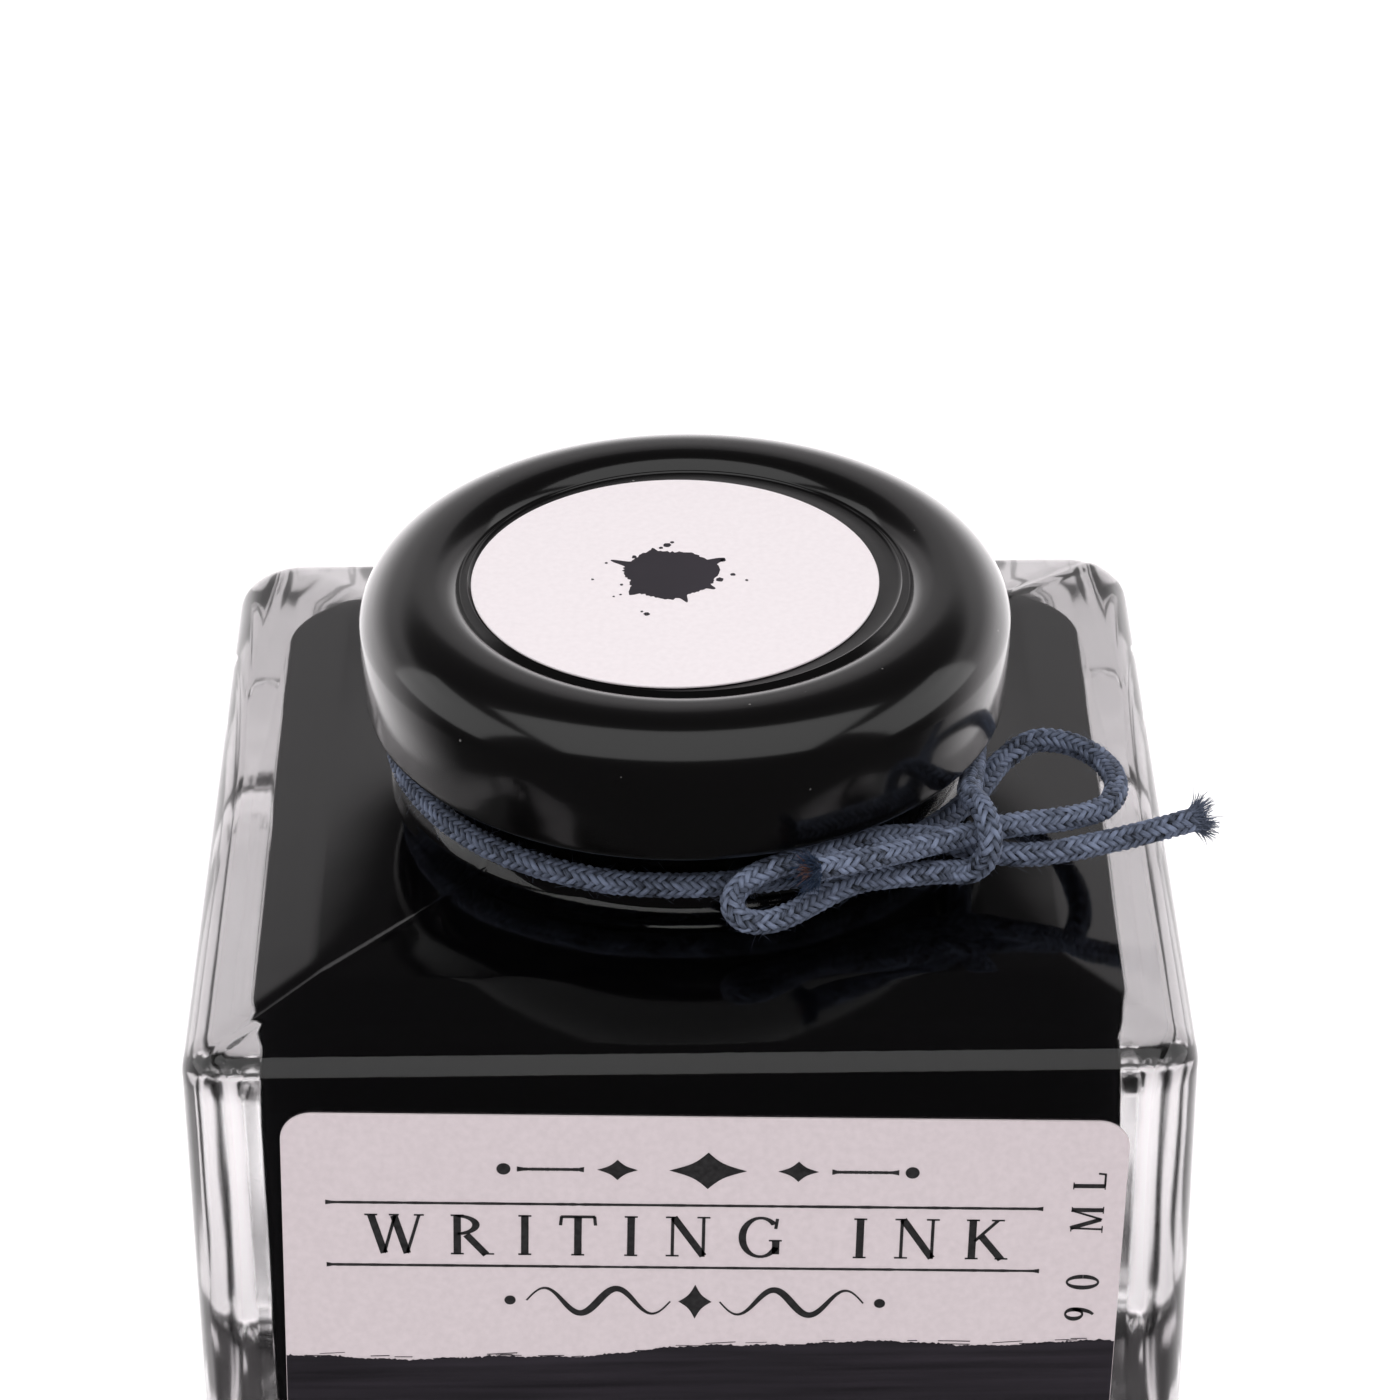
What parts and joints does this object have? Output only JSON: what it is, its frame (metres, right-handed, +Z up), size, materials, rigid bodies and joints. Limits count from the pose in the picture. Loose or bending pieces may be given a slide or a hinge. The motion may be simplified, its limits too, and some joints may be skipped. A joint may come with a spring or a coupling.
{
  "type": "ink bottle",
  "caption": "Square thick-walled glass ink bottle, full of black ink, with a lacquered twist-off lid, paper labels and a braided cord tied in a bow round its neck.",
  "frame": {"origin": "centre of the square base, on the surface the bottle stands on", "axes": "+Z up through the neck and lid, -Y out of the face that carries the label, +X towards the side where the bow's long tail points"},
  "size_m": [0.0619, 0.061, 0.0624],
  "materials": {
    "clear_glass": "fire-polished clear soda-lime glass",
    "black_ink": "opaque black liquid",
    "label_paper": "matt paper with black printing and a broad band of brushed ink",
    "waxed_cord": "waxed cotton braid, slate blue",
    "sealing_compound": "satin sealing compound",
    "black_lacquer": "high-gloss black lacquer on tinplate",
    "sticker_paper": "matt off-white paper"
  },
  "bodies": {
    "bottle": {"glass_bottle": "clear_glass", "ink": "black_ink", "front_label": "label_paper", "neck_cord": "waxed_cord"},
    "seal": {"lid_gasket": "sealing_compound"},
    "lid": {"lid_shell": "black_lacquer", "lid_label": "sticker_paper"}
  },
  "joints": [
    {"name": "lid_lift", "type": "slide", "parent": "bottle", "child": "seal", "axis": [0, 0, 1], "range_m": [0, 0.012]},
    {"name": "lid_turn", "type": "hinge", "parent": "seal", "child": "lid", "pos_m": [0, 0, 0.0581], "axis": [0, 0, 1], "range_deg": [0, 540]}
  ],
  "couplings": [
    {"joint": "lid_lift", "follows": "lid_turn", "m_per_rad": 0.0012732}
  ]
}
